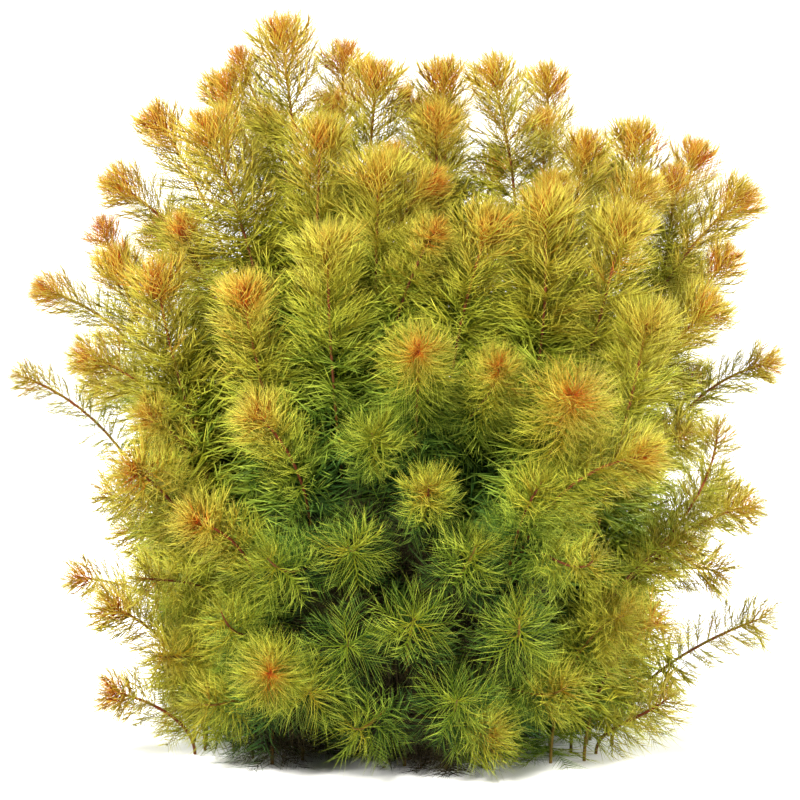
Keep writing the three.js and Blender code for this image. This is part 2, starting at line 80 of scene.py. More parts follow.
# %% Table of shoots
# name, cut (x, y), tip (x, y, z), aim, leaf reach, blush of the bud, greenness
SHOOTS = [
    ("crown_shoot_1", (-32, 1), (-53, 0, 320), (-0.12, 0, 1), 24, 0.9, 0.0),
    ("crown_shoot_2", (-46, 16), (-80, 14, 297), (-0.45, 0.1, 1), 22, 1.0, 0.0),
    ("crown_shoot_3", (-13, 24), (-26, 36, 311), (0, 0.1, 1), 19, 0.9, 0.0),
    ("crown_shoot_4", (-6, -1), (-10, -6, 301), (0.12, 0, 1), 23, 1.0, 0.0),
    ("crown_shoot_5", (13, 10), (19, 14, 302), (-0.05, 0, 1), 21, 0.8, 0.0),
    ("crown_shoot_6", (35, -4), (40, -12, 303), (-0.3, 0, 1), 22, 0.9, 0.0),
    ("crown_shoot_7", (43, 21), (66, 26, 300), (-0.1, 0.1, 1), 21, 1.0, 0.0),
    ("crown_shoot_8", (56, -11), (83, -20, 271), (0.2, 0, 1), 21, 0.8, 0.05),
    ("crown_shoot_9", (63, 13), (105, 8, 274), (-0.1, 0, 1), 23, 0.9, 0.0),
    ("crown_shoot_10", (82, 24), (135, 30, 266), (0.25, 0.1, 1), 20, 0.9, 0.0),
    ("crown_shoot_11", (-67, 10), (-110, 8, 282), (-0.55, 0, 0.8), 21, 1.0, 0.0),
    ("crown_shoot_12", (-45, -16), (-84, -34, 279), (-0.35, -0.05, 1), 24, 0.8, 0.0),
    ("crown_shoot_13", (-20, -20), (-34, -42, 277), (0.1, 0, 1), 22, 0.6, 0.05),
    ("left_shoot_1", (-80, 18), (-130, 18, 252), (-0.9, 0.05, 0.5), 20, 1.0, 0.0),
    ("left_shoot_2", (-78, -3), (-127, -12, 218), (-0.35, 0, 1), 22, 1.0, 0.05),
    ("left_shoot_3", (-63, -24), (-106, -52, 214), (-0.1, -0.3, 1), 23, 1.0, 0.05),
    ("left_shoot_4", (-88, 7), (-162, 6, 204), (-1, 0, 0.25), 17, 1.0, 0.1),
    ("left_shoot_5", (-87, -16), (-140, -36, 178), (-1, -0.1, 0.3), 20, 0.9, 0.1),
    ("left_shoot_6", (-93, -5), (-171, -12, 167), (-1, 0, 0.35), 14, 0.5, 0.3),
    ("left_shoot_7", (-74, -33), (-116, -86, 132), (-0.5, -0.8, 0.3), 22, 0.7, 0.1),
    ("left_shoot_8", (-87, -29), (-128, -50, 68), (-1, -0.1, 0.4), 20, 1.0, 0.15),
    ("left_shoot_9", (-91, -39), (-127, -62, 32), (-1, 0, 0.2), 17, 1.0, 0.15),
    ("right_shoot_1", (86, -1), (155, 4, 247), (0.9, 0, 0.75), 22, 0.9, 0.0),
    ("right_shoot_2", (67, -24), (108, -22, 253), (0.5, 0, 0.8), 20, 0.7, 0.05),
    ("right_shoot_3", (84, -14), (137, -30, 199), (0.8, -0.1, 0.8), 23, 0.8, 0.1),
    ("right_shoot_4", (95, 9), (168, 6, 171), (1, 0, 0.2), 17, 0.8, 0.3),
    ("right_shoot_5", (66, -62), (154, -56, 113), (1, 0, 0.2), 17, 0.8, 0.35),
    ("right_shoot_6", (95, -18), (164, -14, 58), (1, -0.1, 0.35), 17, 0.15, 0.25),
    ("right_shoot_7", (81, -56), (111, -90, 66), (0.4, -0.9, 0.2), 19, 0.35, 0.1),
    ("right_shoot_8", (87, -38), (118, -64, 30), (0.7, -0.2, 0.7), 18, 0.1, 0.3),
    ("front_shoot_1", (-6, -31), (-9, -64, 261), (0.05, -0.1, 1), 25, 0.7, 0.1),
    ("front_shoot_2", (-19, -44), (-31, -92, 231), (0, -0.1, 1), 24, 0.4, 0.25),
    ("front_shoot_3", (20, -34), (39, -84, 239), (0.35, -0.3, 1), 24, 0.8, 0.15),
    ("front_shoot_4", (39, -30), (62, -74, 244), (-0.08, -0.1, 1), 26, 0.7, 0.1),
    ("front_shoot_5", (54, -31), (97, -62, 238), (0.2, -0.15, 1), 24, 0.6, 0.15),
    ("front_shoot_6", (-43, -39), (-68, -92, 210), (-0.2, -0.3, 1), 22, 1.0, 0.1),
    ("front_shoot_7", (4, -53), (8, -132, 187), (0, -1, 0.25), 20, 1.0, 0.2),
    ("front_shoot_8", (76, -36), (107, -78, 198), (0.15, -0.2, 1), 22, 0.4, 0.25),
    ("front_shoot_9", (43, -49), (73, -128, 168), (0.1, -1, 0.35), 24, 0.8, 0.0),
    ("front_shoot_10", (-43, -54), (-62, -114, 160), (-0.6, -0.4, 0.6), 20, 0.9, 0.2),
    ("front_shoot_11", (37, -65), (106, -114, 141), (1, -0.1, 0.1), 20, 1.0, 0.35),
    ("front_shoot_12", (-56, -65), (-55, -134, 51), (-0.1, -1, 0.1), 21, 1.0, 0.2),
    ("front_shoot_13", (2, -69), (6, -134, 74), (0.1, -0.9, 0.4), 20, 0.2, 0.7),
    ("front_shoot_14", (20, -76), (24, -138, 40), (0, -1, 0.25), 19, 0.1, 0.7),
    ("front_shoot_15", (-65, -49), (-88, -112, 113), (-0.9, -0.4, 0.3), 20, 0.9, 0.1),
    ("back_shoot_1", (-37, 37), (-62, 64, 279), (-0.2, 0.4, 1), 23, 0.9, 0.0),
    ("back_shoot_2", (11, 38), (18, 70, 283), (0, 0.35, 1), 23, 0.9, 0.0),
    ("back_shoot_3", (61, 38), (96, 68, 255), (0.4, 0.4, 1), 23, 0.9, 0.05),
    ("back_shoot_4", (-71, 36), (-112, 64, 229), (-0.7, 0.4, 0.8), 22, 1.0, 0.05),
    ("back_shoot_5", (-17, 53), (-28, 106, 236), (-0.1, 0.6, 0.8), 24, 0.6, 0.2),
    ("back_shoot_6", (33, 56), (52, 108, 230), (0.2, 0.7, 0.8), 23, 0.8, 0.1),
    ("back_shoot_7", (84, 40), (134, 70, 210), (0.8, 0.4, 0.6), 22, 0.9, 0.1),
    ("back_shoot_8", (-87, 31), (-142, 62, 158), (-0.9, 0.5, 0.3), 20, 0.6, 0.25),
    ("back_shoot_9", (-52, 56), (-80, 114, 166), (-0.5, 0.9, 0.4), 22, 0.9, 0.15),
    ("back_shoot_10", (6, 68), (10, 134, 163), (0, 1, 0.35), 22, 0.5, 0.25),
    ("back_shoot_11", (63, 61), (98, 114, 156), (0.6, 0.8, 0.4), 21, 0.8, 0.2),
    ("back_shoot_12", (99, 30), (150, 56, 110), (1, 0.4, 0.2), 19, 0.5, 0.3),
    ("back_shoot_13", (-78, 49), (-118, 92, 74), (-0.8, 0.7, 0.2), 19, 0.5, 0.35),
    ("back_shoot_14", (-24, 73), (-36, 132, 69), (-0.2, 1, 0.2), 20, 0.2, 0.6),
    ("back_shoot_15", (41, 71), (62, 130, 63), (0.5, 1, 0.25), 20, 0.4, 0.4),
]

# parent, how far up it, tip (x, y, z), aim, leaf reach, blush of the bud, greenness
SIDE_SHOOTS = [
    ("crown_shoot_5", 0.55, (16, -30, 284), (0, -0.3, 1), 18, 0.8, 0.05),
    ("crown_shoot_8", 0.6, (64, 4, 282), (0, 0, 1), 16, 0.8, 0.05),
    ("crown_shoot_4", 0.62, (-31, 14, 290), (-0.1, 0.1, 1), 16, 0.9, 0.0),
    ("crown_shoot_5", 0.65, (3, 26, 292), (-0.2, 0.1, 1), 16, 0.9, 0.0),
    ("crown_shoot_4", 0.5, (-2, -30, 267), (0.1, -0.1, 1), 17, 0.7, 0.05),
    ("front_shoot_4", 0.6, (67, -42, 255), (0, 0, 1), 17, 0.7, 0.05),
    ("front_shoot_1", 0.62, (17, -58, 256), (0.8, 0, 0.5), 17, 0.8, 0.05),
    ("crown_shoot_10", 0.6, (122, 6, 257), (-0.1, 0, 1), 16, 0.9, 0.0),
    ("right_shoot_1", 0.6, (147, -6, 221), (0.4, 0, 0.8), 18, 0.8, 0.05),
    ("left_shoot_1", 0.6, (-134, 0, 234), (-0.2, 0, 1), 15, 1.0, 0.0),
    ("crown_shoot_11", 0.55, (-97, -14, 236), (-0.2, -0.1, 1), 17, 0.9, 0.05),
    ("crown_shoot_1", 0.7, (-72, 6, 310), (-0.3, 0, 1), 15, 0.8, 0.0),
    ("back_shoot_2", 0.6, (45, 52, 262), (0.2, 0.2, 1), 19, 0.8, 0.0),
    ("right_shoot_4", 0.55, (134, 24, 165), (0.3, 0.2, 1), 20, 0.6, 0.2),
    ("front_shoot_1", 0.35, (-12, -110, 150), (-0.1, -0.9, 0.6), 20, 0.1, 0.7),
    ("front_shoot_1", 0.5, (16, -94, 236), (0.4, -0.7, 0.6), 17, 0.8, 0.1),
    ("front_shoot_2", 0.2, (-22, -132, 62), (0, -1, 0.15), 20, 0, 0.75),
    ("front_shoot_2", 0.42, (-22, -124, 103), (-0.3, -0.8, 0.5), 19, 0.1, 0.6),
    ("front_shoot_3", 0.25, (32, -126, 104), (0.3, -0.5, 0.9), 19, 0.1, 0.7),
    ("front_shoot_3", 0.5, (42, -116, 180), (0, -0.9, 0.7), 18, 0.7, 0.2),
    ("front_shoot_11", 0.4, (60, -118, 130), (0.5, -0.4, 0.8), 19, 0.2, 0.6),
    ("front_shoot_10", 0.45, (-56, -122, 98), (-0.5, -0.5, 0.7), 19, 0.1, 0.6),
    ("front_shoot_7", 0.4, (12, -126, 130), (0, -0.6, 0.8), 18, 0.7, 0.45),
    ("right_shoot_5", 0.2, (96, -98, 70), (0.5, -1, 0.2), 19, 0.2, 0.4),
    ("front_shoot_13", 0.3, (-20, -124, 26), (-0.4, -0.8, 0.4), 18, 0.2, 0.5),
    ("front_shoot_14", 0.35, (40, -116, 24), (0.5, -0.5, 0.7), 20, 0.9, 0.3),
    ("front_shoot_10", 0.22, (-38, -128, 42), (0.1, -1, 0.3), 20, 0.4, 0.5),
    ("front_shoot_11", 0.16, (72, -108, 42), (0.6, -0.3, 0.7), 19, 0.5, 0.3),
    ("front_shoot_11", 0.3, (50, -132, 74), (-0.1, -0.4, 1), 19, 0.1, 0.65),
    ("front_shoot_11", 0.55, (82, -124, 98), (0.5, -0.4, 0.8), 17, 0.1, 0.55),
    ("front_shoot_15", 0.15, (-86, -98, 32), (-0.9, -0.3, 0.2), 19, 0.2, 0.5),
    ("front_shoot_15", 0.35, (-76, -116, 75), (-0.3, -0.4, 1), 17, 0.1, 0.5),
    ("left_shoot_3", 0.5, (-112, -50, 154), (-0.8, -0.3, 0.6), 17, 0.8, 0.2),
    ("left_shoot_5", 0.4, (-130, -34, 116), (-1, -0.2, 0.3), 18, 0.4, 0.3),
    ("left_shoot_6", 0.25, (-146, -12, 76), (-1, 0, 0.1), 15, 0.9, 0.2),
    ("left_shoot_7", 0.2, (-104, -82, 50), (-0.5, -1, 0.2), 18, 0.3, 0.4),
    ("left_shoot_7", 0.4, (-112, -86, 85), (-0.9, -0.6, 0.2), 17, 0.2, 0.5),
    ("right_shoot_3", 0.25, (143, -30, 80), (1, 0, -0.35), 18, 0.45, 0.2),
    ("right_shoot_3", 0.45, (126, -60, 146), (0.6, -0.6, 0.4), 18, 0.4, 0.3),
    ("right_shoot_4", 0.4, (150, 0, 108), (1, -0.2, 0.3), 17, 0.3, 0.4),
    ("right_shoot_5", 0.4, (128, -60, 98), (0.8, -0.5, 0.3), 18, 0.5, 0.2),
    ("right_shoot_5", 0.65, (138, -66, 149), (0, -0.1, 1), 16, 0.6, 0.3),
    ("back_shoot_5", 0.3, (-32, 124, 106), (-0.1, 1, 0.3), 20, 0.3, 0.4),
    ("back_shoot_6", 0.35, (58, 120, 108), (0.2, 1, 0.3), 20, 0.4, 0.3),
    ("back_shoot_8", 0.3, (-128, 54, 90), (-1, 0.3, 0.2), 18, 0.5, 0.3),
    ("back_shoot_9", 0.3, (-88, 102, 90), (-0.5, 0.9, 0.3), 19, 0.3, 0.4),
    ("back_shoot_10", 0.2, (8, 130, 50), (0, 1, 0.1), 20, 0.2, 0.5),
    ("back_shoot_11", 0.3, (98, 96, 82), (0.5, 0.9, 0.2), 19, 0.4, 0.4),
]
print("shoots:", len(SHOOTS), " side shoots:", len(SIDE_SHOOTS))

# %% [markdown]
# ## The curve of a stem
#
# A stem is smooth: it sets out one way and turns slowly until its tip points at the light.
# Its leaves need more than the curve, because a whorl has to know which way is round the
# stem. A frame that is carried along the curve, turned as little as possible at each step,
# gives that without the sudden flips that a curve's own normal makes.
#
# A stem also knows how it lives. The bud of a low, green one has opened into a star, and one
# at the low sides of the clump stands free, where more light reaches it.

# %% Stem curves
CURVE_STEPS = 120
UPRIGHT_SHARE = 0.45       # of the tip's height, how long a stem keeps upright
FOLLOW_SHARE = 0.3         # of a side shoot's reach, how long it follows its parent
STRAIGHT_SHARE = 0.35      # of a stem's reach, how long it runs straight before its tip
BUD_DEPTH = 3.5            # mm below the tip, where a bud is reddest
BARE_FOOT = 4              # mm of a stem without leaves
BARE_OUTSIDE = 5           # mm more of it at the outer stems
OUTER_CUTS = (50, 80)      # mm to the side, from the inner stems to the outer ones
LOW_TIPS = (90, 220)       # mm up, from low tips to high ones
FREE_TIPS = (55, 115)      # mm to the side, from crowded tips to free ones
OPENED_TIPS = (60, 190)    # mm up, from opened buds to closed ones
FREE_CLOSING = 0.7         # how far the light at the sides keeps a bud closed
FACING_AIMS = (0.5, 0.95)  # how squarely a tip points to the front or back
FACING_FLATNESS = 0.7      # how flat the leaves of such a tip spread


class Stem:
    """A stem's curve in millimetres, with a frame that is carried along it."""

    def __init__(self, start, set_out, tip, aim, reach, blush, green):
        aim = aim.normalized()
        handle = tip - aim * STRAIGHT_SHARE * (tip - start).length
        points = geometry.interpolate_bezier(start, start + set_out, handle, tip, CURVE_STEPS + 1)
        self.points = np.array([tuple(point) for point in points])
        steps = np.linalg.norm(np.diff(self.points, axis=0), axis=1)
        self.distance = np.concatenate([[0], np.cumsum(steps)])
        self.length = self.distance[-1]
        self.along = np.gradient(self.points, self.distance, axis=0)
        self.along /= np.linalg.norm(self.along, axis=1, keepdims=True)
        self.side = self.carried_sides()
        self.bud = self.at(self.length - BUD_DEPTH, self.points)
        self.reach, self.blush, self.green = reach, blush, green
        from_ground = start.z == 0
        self.leafless = BARE_FOOT + BARE_OUTSIDE * smoothstep(abs(start.x), *OUTER_CUTS) * from_ground
        self.low = 1 - smoothstep(tip[2], *LOW_TIPS)
        self.airy = self.low * smoothstep(abs(tip[0]), *FREE_TIPS)
        opened = (1 - smoothstep(tip[2], *OPENED_TIPS)) * (1 - blush)
        self.open = opened * (1 - FREE_CLOSING * self.airy)
        self.flat = max(self.open, FACING_FLATNESS * smoothstep(abs(aim.y), *FACING_AIMS))

    def carried_sides(self):
        """Directions square to the curve that turn as little as they can."""
        side = Vector((1, 0, 0)) if abs(self.along[0][0]) < 0.9 else Vector((0, 1, 0))
        sides = []
        for along in self.along:
            along = Vector(along)
            side = (side - along * side.dot(along)).normalized()
            sides.append(tuple(side))
        return np.array(sides)

    def at(self, distance, values):
        """values along the curve, read at some distances from the cut."""
        axes = [np.interp(distance, self.distance, values[:, axis]) for axis in range(3)]
        return np.stack(axes, axis=-1)


def main_stem(row):
    cut, tip, aim, reach, blush, green = row[1:]
    set_out = Vector((0, 0, UPRIGHT_SHARE * tip[2]))
    return Stem(Vector((*cut, 0)), set_out, Vector(tip), Vector(aim), reach, blush, green)


def side_stem(row, parent):
    share, tip, aim, reach, blush, green = row[1:]
    start = Vector(parent.at(share * parent.length, parent.points))
    along = Vector(parent.at(share * parent.length, parent.along)).normalized()
    set_out = along * FOLLOW_SHARE * (Vector(tip) - start).length
    return Stem(start, set_out, Vector(tip), Vector(aim), reach, blush, green)


stems_of = {}
for row in SHOOTS:
    main = main_stem(row)
    sides = [side_stem(side, main) for side in SIDE_SHOOTS if side[0] == row[0]]
    stems_of[row[0]] = [main, *sides]
stem_metres = sum(stem.length for stems in stems_of.values() for stem in stems) * MM
print(f"stems: {stem_metres:.1f} m in all")

# %% [markdown]
# ## One comb-like leaf
#
# A leaf of milfoil is a midrib with threads on both sides, all as fine as hairs. Hair curves
# would be the quick way, but a plain mesh goes anywhere. The midrib is a three-sided cone,
# cut across so that it can bend. A thread is a three-sided cone too: it is set on the
# midrib's line and sheared forwards, and a mirror gives its twin and closes the two into one
# spindle. That keeps a leaf to a few dozen faces, which matters when there are thousands.
#
# Four leaves are enough: a young one from the bud, a plume leaf whose threads run a little
# more forward, an open comb from lower down, and a coarse one for the shade inside the clump,
# where no more than its dark mass shows.

# %% Model the leaves
RIB_RADIUS = 0.28                  # mm, at the stem
RIB_SHARE = 0.8                    # of the leaf's length, because the last threads reach on
LAST_THREAD = 0.98                 # its place as a share of the midrib
THREAD_LIFTS = (-0.1, 0.4, 0.9)    # how far a thread rises for each step sideways, in turn
MORE_FORWARD = 0.5                 # how much more the last threads run forward
LOOSE_FROM = 1.0                   # mm from the midrib, where a thread strays
MERGE_DISTANCE = 0.001             # mm, joins a thread to its twin


class Leaf:
    """A leaf's corners and triangles, in millimetres: +Y along the midrib, +Z its upper face."""

    def __init__(self, mesh, length):
        self.length = length
        self.corners = np.array([vertex.co[:] for vertex in mesh.verts])
        self.faces = np.array([[vertex.index for vertex in face.verts] for face in mesh.faces])
        self.loose = np.abs(self.corners[:, 0]) > LOOSE_FROM


def thread_outline(share):
    """How far threads reach at a share of the midrib, 1 in a leaf that keeps its width."""
    return 0.75 + 0.45 * math.sin(math.pi * (0.1 + 0.7 * share)) - 0.6 * share ** 2


def comb_leaf(length, pairs, first_at, spread, forward, joints, thread_radius):
    """A leaf with so many pairs of threads, the first of them at a share of the midrib. A
    thread reaches about spread sideways, and runs forward by so much for each step sideways.
    The joints let the midrib bend."""
    mesh = bmesh.new()
    rib = RIB_SHARE * length
    upright = Matrix.Translation((0, rib / 2, 0)) @ Matrix.Rotation(math.radians(-90), 4, "X")
    bmesh.ops.create_cone(mesh, cap_ends=True, segments=3, radius1=RIB_RADIUS, radius2=0, depth=rib,
                          matrix=upright)
    for joint in range(1, joints + 1):
        everything = [*mesh.verts, *mesh.edges, *mesh.faces]
        bmesh.ops.bisect_plane(mesh, geom=everything, plane_co=(0, rib * joint / (joints + 1), 0),
                               plane_no=(0, 1, 0))
    threads = []
    for pair in range(pairs):
        share = (pair + 0.5) / pairs
        lift = THREAD_LIFTS[pair % len(THREAD_LIFTS)]
        slant = forward * (1 + MORE_FORWARD * share)
        along = rib * (first_at + (LAST_THREAD - first_at) * share)
        sideways = spread * thread_outline(share)
        place = Matrix.Translation((sideways / 2, 0, 0)) @ Matrix.Rotation(math.radians(90), 4, "Y")
        thread = bmesh.ops.create_cone(mesh, cap_ends=False, segments=3, radius1=thread_radius,
                                       radius2=0, depth=sideways, matrix=place)["verts"]
        for vertex in thread:
            out = max(0.0, vertex.co.x)
            vertex.co.y += slant * out + along
            vertex.co.z += lift * out
        threads += thread
    edges = {edge for vertex in threads for edge in vertex.link_edges}
    faces = {face for vertex in threads for face in vertex.link_faces}
    bmesh.ops.mirror(mesh, geom=[*threads, *edges, *faces], matrix=Matrix.Identity(4),
                     merge_dist=MERGE_DISTANCE, axis="X")
    bmesh.ops.triangulate(mesh, faces=mesh.faces[:])
    bmesh.ops.recalc_face_normals(mesh, faces=mesh.faces[:])
    mesh.verts.index_update()
    leaf = Leaf(mesh, length)
    mesh.free()
    return leaf


YOUNG_LEAF = comb_leaf(14, pairs=6, first_at=0.02, spread=5.2, forward=1.3, joints=0, thread_radius=0.23)
PLUME_LEAF = comb_leaf(24, pairs=9, first_at=0.12, spread=8.6, forward=1.15, joints=1, thread_radius=0.26)
OPEN_LEAF = comb_leaf(24, pairs=9, first_at=0.16, spread=8.5, forward=1.0, joints=1, thread_radius=0.27)
SHADE_LEAF = comb_leaf(24, pairs=6, first_at=0.15, spread=10.0, forward=0.8, joints=0, thread_radius=0.7)
LEAVES = {"young": YOUNG_LEAF, "plume": PLUME_LEAF, "open": OPEN_LEAF, "shade": SHADE_LEAF}
for name, leaf in LEAVES.items():
    print(f"{name} leaf: {len(leaf.corners)} corners, {len(leaf.faces)} triangles")

# %% [markdown]
# ## Where the whorls stand
#
# Whorls crowd at the bud and move apart as the stem grows. Equal steps would be easy, but
# they look turned on a lathe, so the gap follows the distance from the tip and each one is
# drawn a little longer or shorter. An opened shoot has wide gaps right up to its bud, and
# deep in the clump some leaves have fallen.

# %% Whorls along a stem
FIRST_WHORL = 0.6          # mm from the tip
BUD_GAP = 1.0              # mm between whorls at the bud
OPEN_GAP = 7.4             # at the bud of a low shoot that has opened
GROWN_GAP = 3.85           # once the stem has stretched
SHADE_GAP = 5.6            # deep in the clump, where some have fallen
AIRY_GAP = 0.8             # more than that at the low sides
GAP_RANGE = (0.85, 1.15)   # of the gap, how unevenly whorls stand


def whorl_stations(stem):
    """Distances from the tip at which a stem's whorls stand."""
    stations = [FIRST_WHORL]
    bud_gap = BUD_GAP + (OPEN_GAP - BUD_GAP) * stem.open
    while stations[-1] < stem.length - stem.leafless:
        last = stations[-1]
        gap = bud_gap + (GROWN_GAP - bud_gap) * smoothstep(last, 1, 24)
        gap += (SHADE_GAP - GROWN_GAP) * smoothstep(last, 50, 110)
        gap += AIRY_GAP * stem.airy * smoothstep(last, 8, 30)
        stations.append(last + gap * DICE.uniform(*GAP_RANGE))
    return np.array(stations[:-1])


print(f"gaps between whorls: {BUD_GAP} mm at a bud, {GROWN_GAP} mm on a grown stem")

# %% [markdown]
# ## How each leaf has grown
#
# Leaves in a bud are short and point forwards. Older ones are longer, open away from the
# stem and at last arch back, and each whorl stands half a leaf round from the last. Every
# leaf could be turned by hand, but there are thousands, so arrays hold a foot, a direction,
# a size and a bend for all the leaves of a stem at once. The ranges below are in
# millimetres from the tip.

# %% Places and growth of the leaves
LEAVES_IN_WHORL = 5
GROWN_LENGTH = 24.0        # mm of a leaf of size 1
YOUNGEST_SIZE = 0.5        # of a grown leaf, in a closed bud
OPENED_SIZE = 0.35         # more than that in an opened one
LOW_OPENING = 0.8          # how far the leaves of a low bud grow as in an opened one
OPEN_GROWTH = 0.2          # how much longer all leaves of an opened shoot are
OLD_GROWTH = 0.25          # and those far down a stem
BRUSH_LEAN = 26            # degrees from the stem, in the brush round a bud
SPREAD_LEAN = 40           # more where a shoot spreads flat
LOW_FLATNESS = 0.4         # how flat a low shoot spreads at least
GROWN_LEAN = 20            # more once out of the brush
OLD_LEAN = 30              # and more far down the stem
MOST_LEAN = 84
OLD_ARCH = 44              # degrees that an old leaf bends back
YOUNG_ARCH = -2            # and a young one
SIZE_RANGE = (0.86, 1.1)
WIDTH_RANGE = (0.85, 1.15)
WHORL_SCATTER = 0.25       # radians, round the stem
LEAN_SCATTER = 8           # degrees
ARCH_SCATTER = 9           # degrees
ROLL_SCATTER = 0.3         # radians, for the roll and the twist of a leaf


def unit(vectors):
    return vectors / np.linalg.norm(vectors, axis=-1, keepdims=True)


def leaf_sizes(stem, from_tip):
    """1 for a grown leaf of 24 mm, less in the bud and a little more far down."""
    youngest = YOUNGEST_SIZE + OPENED_SIZE * max(stem.open, LOW_OPENING * stem.low)
    grown = youngest + (1 - youngest) * smoothstep(from_tip, 0, 15)
    grown += OPEN_GROWTH * stem.open + OLD_GROWTH * smoothstep(from_tip, 35, 120)
    grown *= 0.5 + 0.5 * smoothstep(from_tip, 0, 3)
    return stem.reach / GROWN_LENGTH * grown


def leaf_leans(stem, from_tip):
    """Degrees between a leaf and its stem."""
    spread = max(stem.flat, LOW_FLATNESS * stem.low)
    lean = BRUSH_LEAN + SPREAD_LEAN * spread + GROWN_LEAN * smoothstep(from_tip, 0, 8)
    lean = lean + OLD_LEAN * smoothstep(from_tip, 24, 110)
    return np.minimum(lean, MOST_LEAN)


def leaf_places(stem):
    """One row for each leaf: its foot and directions, and how it has grown."""
    whorls = whorl_stations(stem)
    turns = np.arange(len(whorls)) * math.pi / LEAVES_IN_WHORL
    turns = turns + DICE.normal(0, WHORL_SCATTER, len(whorls))
    from_tip = np.repeat(whorls, LEAVES_IN_WHORL)
    count = len(from_tip)
    in_brush = 1 - smoothstep(from_tip, 2, 9)
    loosened = smoothstep(from_tip, 30, 130)
    round_stem = np.tile(np.arange(LEAVES_IN_WHORL) * 2 * math.pi / LEAVES_IN_WHORL, len(whorls))
    round_stem = round_stem + np.repeat(turns, LEAVES_IN_WHORL) + DICE.normal(0, 0.12 + 0.2 * in_brush)
    distance = stem.length - from_tip
    foot = stem.at(distance, stem.points)
    along = unit(stem.at(distance, stem.along))
    side = unit(stem.at(distance, stem.side))
    across = np.cross(along, side)
    outward = side * np.cos(round_stem)[:, None] + across * np.sin(round_stem)[:, None]
    size = leaf_sizes(stem, from_tip) * DICE.uniform(*SIZE_RANGE, count)
    uneven = LEAN_SCATTER + 8 * loosened + 6 * in_brush
    lean = np.radians(leaf_leans(stem, from_tip) + DICE.normal(0, 1, count) * uneven)
    arch = OLD_ARCH * smoothstep(from_tip, 14, 70) + YOUNG_ARCH
    arch = np.radians(arch + DICE.normal(0, ARCH_SCATTER, count))
    width = (0.85 + 0.2 * smoothstep(from_tip, 4, 60)) * DICE.uniform(*WIDTH_RANGE, count)
    roll = DICE.normal(0, ROLL_SCATTER + 0.2 * loosened)
    twist = DICE.normal(0, ROLL_SCATTER + 0.1 * loosened)
    return {"from_tip": from_tip, "foot": foot, "along": along, "outward": outward, "size": size,
            "lean": lean, "arch": arch, "width": width, "roll": roll, "twist": twist}


print(f"leaves in a whorl: {LEAVES_IN_WHORL}, a grown leaf {GROWN_LENGTH:.0f} mm long")

# %% [markdown]
# ## Bending the model leaves into place
#
# No two leaves of the real plant are the same, and their threads wave in all directions.
# Copies of one leaf would be light, but they would all be stiff and alike, and copies don't
# survive being handed on. So the corners of the model leaf are carried to every place: they
# stray a little, roll and twist round the midrib, and bend along an arc.

# %% Bend the leaves
STRAY = (0.4, 1.0, 0.8)    # mm, how far thread ends stray sideways, forwards and upwards
LEAST_BEND = 1e-4          # radians a mm, so that a straight leaf has an arc too


def grown_leaves(leaf, places, chosen):
    """Corners of every chosen leaf, as one array of leaf by corner by axis."""
    pick = {key: values[chosen] for key, values in places.items()}
    scale = (pick["size"] * GROWN_LENGTH / leaf.length)[:, None]
    x, y, z = (leaf.corners[:, axis][None, :] * scale for axis in range(3))
    x = x * pick["width"][:, None]
    ragged = leaf.loose[None, :] * scale
    x, y, z = (values + ragged * DICE.normal(0, stray, values.shape)
               for values, stray in zip((x, y, z), STRAY))
    turn = pick["roll"][:, None] + pick["twist"][:, None] * y / (leaf.length * scale)
    x, z = x * np.cos(turn) - z * np.sin(turn), x * np.sin(turn) + z * np.cos(turn)
    bend = pick["arch"][:, None] / (leaf.length * scale)
    bend = np.where(np.abs(bend) < LEAST_BEND, LEAST_BEND, bend)
    rise = np.sin(bend * y) / bend + z * np.sin(bend * y)
    drop = (np.cos(bend * y) - 1) / bend + z * np.cos(bend * y)
    lean = pick["lean"][:, None]
    forward = pick["along"] * np.cos(lean) + pick["outward"] * np.sin(lean)
    upper = pick["along"] * np.sin(lean) - pick["outward"] * np.cos(lean)
    sideways = np.cross(forward, upper)
    return (pick["foot"][:, None] + forward[:, None] * rise[..., None]
            + upper[:, None] * drop[..., None] + sideways[:, None] * x[..., None])


print("thread ends stray by about", STRAY, "mm")

# %% [markdown]
# ## The colour of a leaf
#
# Colour follows age and light. Round the bud the leaves are red-brown and orange, a little
# further gold, then olive, and deep in the clump dark green, partly from age and partly as
# painted shade. A painted texture could say that, but a number on every corner says it better
# and costs little: how old the leaf is there, measured from the bud, with painted shade added
# for how deep it stands in the clump, under its shoot's leaves and near the ground. The
# material then turns the number into colour. A second number makes thread ends pale, partly as
# thin young tissue is and partly as a painted highlight.

# %% Age and paleness of every corner
CLUMP_HALF = np.array([172.0, 142.0, 300.0])      # mm, from the middle of the foot to the outside
SHADOW_HALF = np.array([120.0, 250.0, 300.0])     # mm, shade reaches far forwards and backwards
CLUMP_MIDDLE = np.array([0, 0, 20.0])             # mm
BUD_GLOW = 8               # mm round the middle of a bud that are orange
PALE_BUD_AGE = 0.2         # of a bud that has no blush
LIGHT_AGE = 0.28           # of a leaf in full light
DISTANCE_AGE = 0.2         # more, far from the bud
GREEN_AGE = 0.2            # more, on the greenest shoots
GROUND_SHADE = 0.1           # painted shade, more near the ground
SHADE_AGE = 0.18           # painted shade, more in the middle of the clump
COVERED_SHADE = 0.06         # painted shade, more under the leaves of the same shoot
LOW_COVERED_SHADE = 0.34     # and more painted shade again under the front of the clump
FREE_LIGHT = 0.8           # how much of the painted shade near the ground and in the clump the light at the sides takes off
OLDEST = 1.1
BACK_DARKEST_CUT = 0.3       # how much lower the darkest age reaches at the back, holding back the painted shade there
LEAF_SCATTER = 0.05        # from one leaf to the next
CORNER_SCATTER = 0.03      # and within a leaf
PALE_RANGE = (0.3, 1.2)    # of the thread ends, from one corner to the next
PALE_REACH = 4             # mm from the midrib to the pale end of a thread


